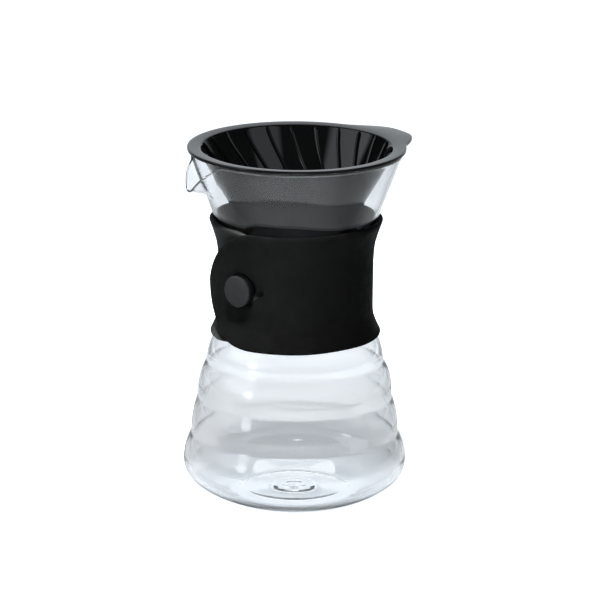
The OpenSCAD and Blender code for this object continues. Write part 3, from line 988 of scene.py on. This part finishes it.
class SERVER_OT_flap(Operator):
    """Wrap the outer layer of the grip band up to its rounded flap, and cut the hole for the button"""
    bl_idname = "server.flap"
    bl_label = "Grip band flap"

    def execute(self, context):
        g, b, k = context.scene.server_glass, context.scene.server_band, context.scene.server_button
        top = b.low_z + b.height
        lap = b.thick + b.lap_gap
        fold = b.button_turn + b.fold_turn - TURN
        tip = b.button_turn - b.flap_tip - TURN
        ramp = fold + b.ramp_wait + b.ramp_turn
        start, shoulder = ramp - b.ramp_turn, tip + b.flap_end
        stations = []
        for i in range(WRAP_ROWS):
            stations.append((b.split + (ramp - b.split) * i / WRAP_ROWS, b.low_z, top, 0))
        for i in range(CLIMB_ROWS):
            stations.append((ramp - b.ramp_turn * i / CLIMB_ROWS, b.low_z, top, lap * ease(i / CLIMB_ROWS)))
        for i in range(LAP_ROWS):
            stations.append((start + (shoulder - start) * i / LAP_ROWS, b.low_z, top, lap))
        for i in range(END_ROWS, 0, -1):
            t = b.flap_end * (i / END_ROWS) ** TIP_GATHER
            off = lap + b.lap_lift * (1 - t / b.flap_end) ** 2
            stations.append(rounded_station(b, tip + t, t, b.flap_end, b.flap_end, off))
        bm = bmesh.new()
        sweep_band(bm, g, b, stations)
        piece = piece_from(bm, "band_outer", bpy.data.materials["matt_black_rubber"], SHARP_RUBBER)
        cut_hole(piece, g, b, k)
        r = flap_face(g, b)
        line = Vector((r * math.cos(fold), r * math.sin(fold), band_middle(b)))
        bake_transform(piece)
        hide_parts("band_flap")
        return {"FINISHED"}


class SERVER_OT_button(Operator):
    """Turn the button: rounded head, stem and the disc inside the band"""
    bl_idname = "server.button"
    bl_label = "Button"

    def execute(self, context):
        g, b, k = context.scene.server_glass, context.scene.server_band, context.scene.server_button
        seat = band_seat(g, b) + SEAT_DEPTH
        face = flap_face(g, b)
        under, over = face + k.head_gap, face + k.head_out
        edge_z, edge_r = over - k.dome - k.head_round, k.head_r - k.head_round
        points = [(0, seat), (k.disc_r, seat), (k.disc_r, seat + k.disc_t)]
        points += [(k.stem_r, seat + k.disc_t), (k.stem_r, under)]
        points += [(k.head_r - HEAD_BREAK, under), (k.head_r, under + HEAD_BREAK)]
        for i in range(HEAD_ROWS + 1):
            a = math.pi / 2 * i / HEAD_ROWS
            points.append((edge_r + k.head_round * math.cos(a), edge_z + k.head_round * math.sin(a)))
        for i in range(1, DOME_ROWS + 1):
            share = 1 - i / DOME_ROWS
            points.append((edge_r * share, over - k.dome * share ** 2))
        bm = bmesh.new()
        turn(bm, *wire(bm, [(r, 0, z) for r, z in points]), BUTTON_STEPS)
        # Share of the head's front; below it the side takes painted shade
        front = bm.verts.layers.float.new("face")
        for v in bm.verts:
            v[front] = ease((v.co.z - edge_z) / k.head_round)
        bmesh.ops.transform(bm, matrix=button_place(b), verts=bm.verts)
        piece = piece_from(bm, "button", button_finish(context.scene.server_finish.button), SHARP_PLASTIC)
        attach(piece, "carafe")
        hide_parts("band_button")
        return {"FINISHED"}


class SERVER_OT_stage(Operator):
    """Set up the pale floor, the soft studio light and the camera"""
    bl_idname = "server.stage"
    bl_label = "Stage"

    def execute(self, context):
        scene, s = context.scene, context.scene.server_stage
        foot = Vector((0, 0, 0))
        make_floor(s)
        make_room(scene, s)
        make_light(scene, "overhead", Vector((0, 0, 3)), foot, width=5, height=5, power=10)
        aim = 0.15 * toward(s, 180, 0)
        key = make_light(
            scene, "front_key", aim + 1.8 * toward(s, 6, 66), aim, width=0.2, height=0.9, power=1.6
        )
        key.spread = radians(10)
        back = make_light(
            scene, "back_light", 1.6 * toward(s, 180, 52), foot, width=0.72, height=0.8, power=4.6
        )
        back.shape = "ELLIPSE"
        make_camera(scene, s)
        scene.view_settings.view_transform = "Standard"
        return {"FINISHED"}


class SERVER_PT_pieces(Panel):
    """Lists the pieces and their sizes"""
    bl_idname = "SERVER_PT_pieces"
    bl_label = "Coffee Server"
    bl_space_type = "VIEW_3D"
    bl_region_type = "UI"
    bl_category = "Server"

    def draw(self, context):
        for made in PIECES:
            self.layout.operator(made.bl_idname)
        for name, group in GROUPS.items():
            box = self.layout.box()
            box.label(text=group.__doc__)
            for size in group.__annotations__:
                box.prop(getattr(context.scene, name), size)


PIECES = (
    SERVER_OT_glass, SERVER_OT_dripper, SERVER_OT_band, SERVER_OT_flap, SERVER_OT_button, SERVER_OT_stage
)
GROUPS = {
    "server_glass": GlassSizes,
    "server_dripper": DripperSizes,
    "server_band": BandSizes,
    "server_button": ButtonSizes,
    "server_finish": Finishes,
    "server_stage": StageSizes,
}


def register():
    for group in GROUPS.values():
        bpy.utils.register_class(group)
    for name, group in GROUPS.items():
        setattr(bpy.types.Scene, name, PointerProperty(type=group))
    for made in (*PIECES, SERVER_PT_pieces):
        bpy.utils.register_class(made)


def unregister():
    for made in (SERVER_PT_pieces, *reversed(PIECES)):
        bpy.utils.unregister_class(made)
    for name in GROUPS:
        delattr(bpy.types.Scene, name)
    for group in reversed(GROUPS.values()):
        bpy.utils.unregister_class(group)


def main():
    """Makes every piece and works out the box of the solids and of the dressed part"""
    register()
    bpy.ops.server.glass()
    bpy.ops.server.dripper()
    bpy.ops.server.band()
    bpy.ops.server.flap()
    bpy.ops.server.button()
    bpy.ops.server.stage()
    boxes = {"cad": CAD_BOX, "visual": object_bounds()}
    {name: [list(corner) for corner in box] for name, box in boxes.items()}


if __name__ == "__main__":
    main()
